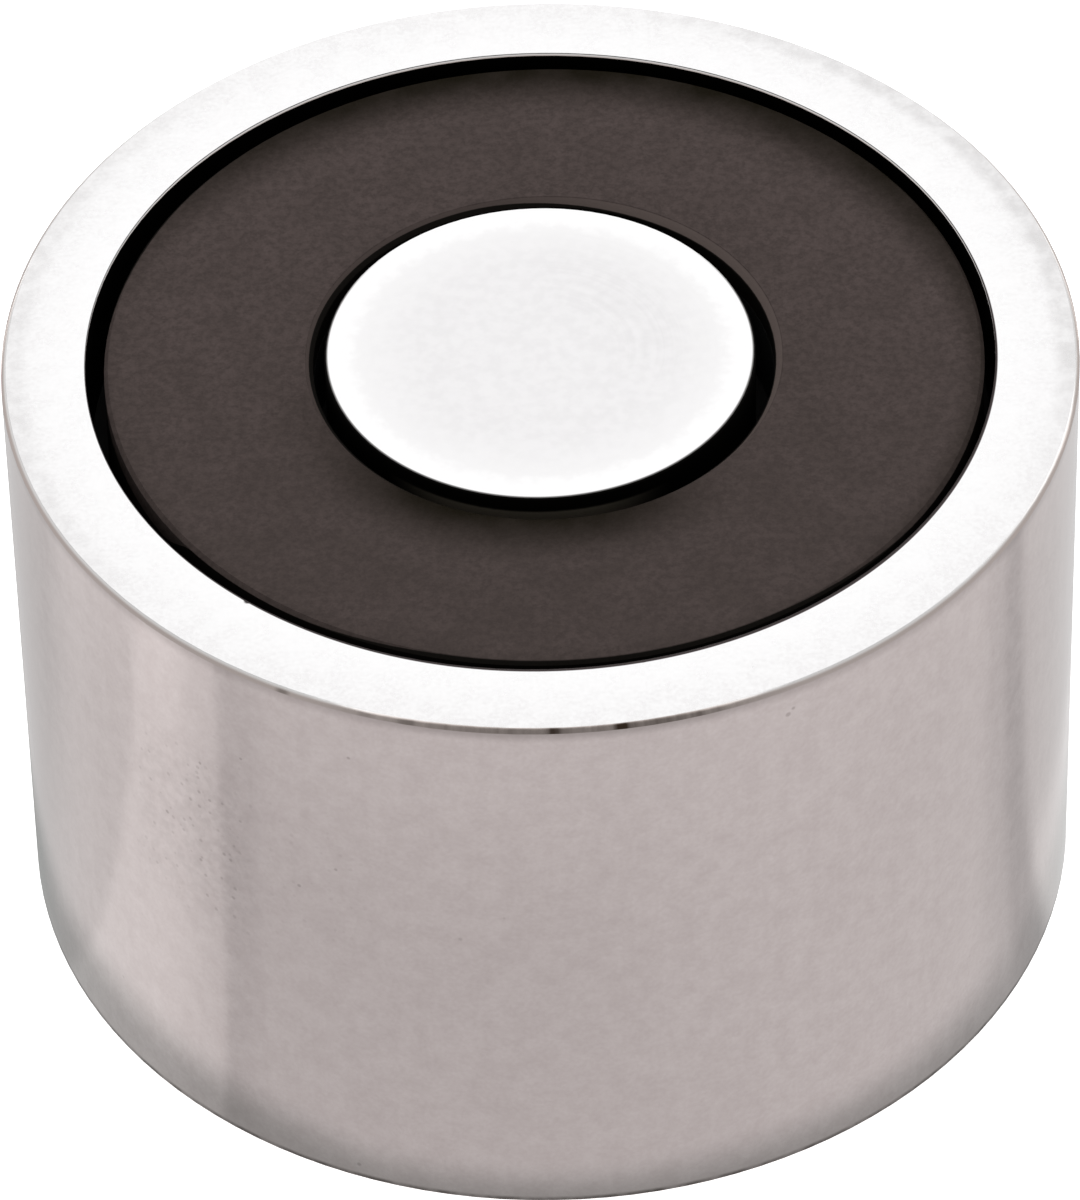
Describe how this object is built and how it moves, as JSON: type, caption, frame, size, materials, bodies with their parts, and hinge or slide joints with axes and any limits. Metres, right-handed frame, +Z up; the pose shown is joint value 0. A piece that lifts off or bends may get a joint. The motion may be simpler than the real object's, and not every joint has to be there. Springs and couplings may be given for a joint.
{
  "type": "electro-permanent holding magnet",
  "caption": "Round steel pot magnet with a flush centre pole and a recessed, resin-capped coil ring; a permanent magnet holds the workpiece and the coil cancels its field to let go.",
  "frame": {"origin": "centre of the base, on the surface it stands on", "axes": "+Z up along the turning axis to the holding face; -Y towards the viewer of the picture; +Y out of the lead passage at the rear"},
  "size_m": [0.055, 0.055, 0.035],
  "materials": {
    "pot_steel": "turned, satin nickel plated, holding face ground",
    "pole_steel": "turned and ground",
    "cap_resin": "matt moulded resin",
    "magnet_ferrite": "ground hard ferrite",
    "centring_brass": "turned",
    "washer_film": "insulating film",
    "bobbin_plastic": "moulded, black",
    "winding_copper": "enamelled copper wire",
    "tape_film": "polyester tape",
    "pin_tin": "tinned",
    "bond_resin": "cast resin",
    "bush_plastic": "moulded"
  },
  "bodies": {
    "root": {"pot": "pot_steel", "centre_pole": "pole_steel", "coil_cap": "cap_resin", "permanent_magnet": "magnet_ferrite", "centring_ring": "centring_brass", "coil_washer": "washer_film", "bobbin": "bobbin_plastic", "winding": "winding_copper", "winding_tape": "tape_film", "coil_tails": "winding_copper", "terminal_pins": "pin_tin", "outer_bond": "bond_resin", "inner_bond": "bond_resin", "lead_bush": "bush_plastic"}
  },
  "joints": []
}
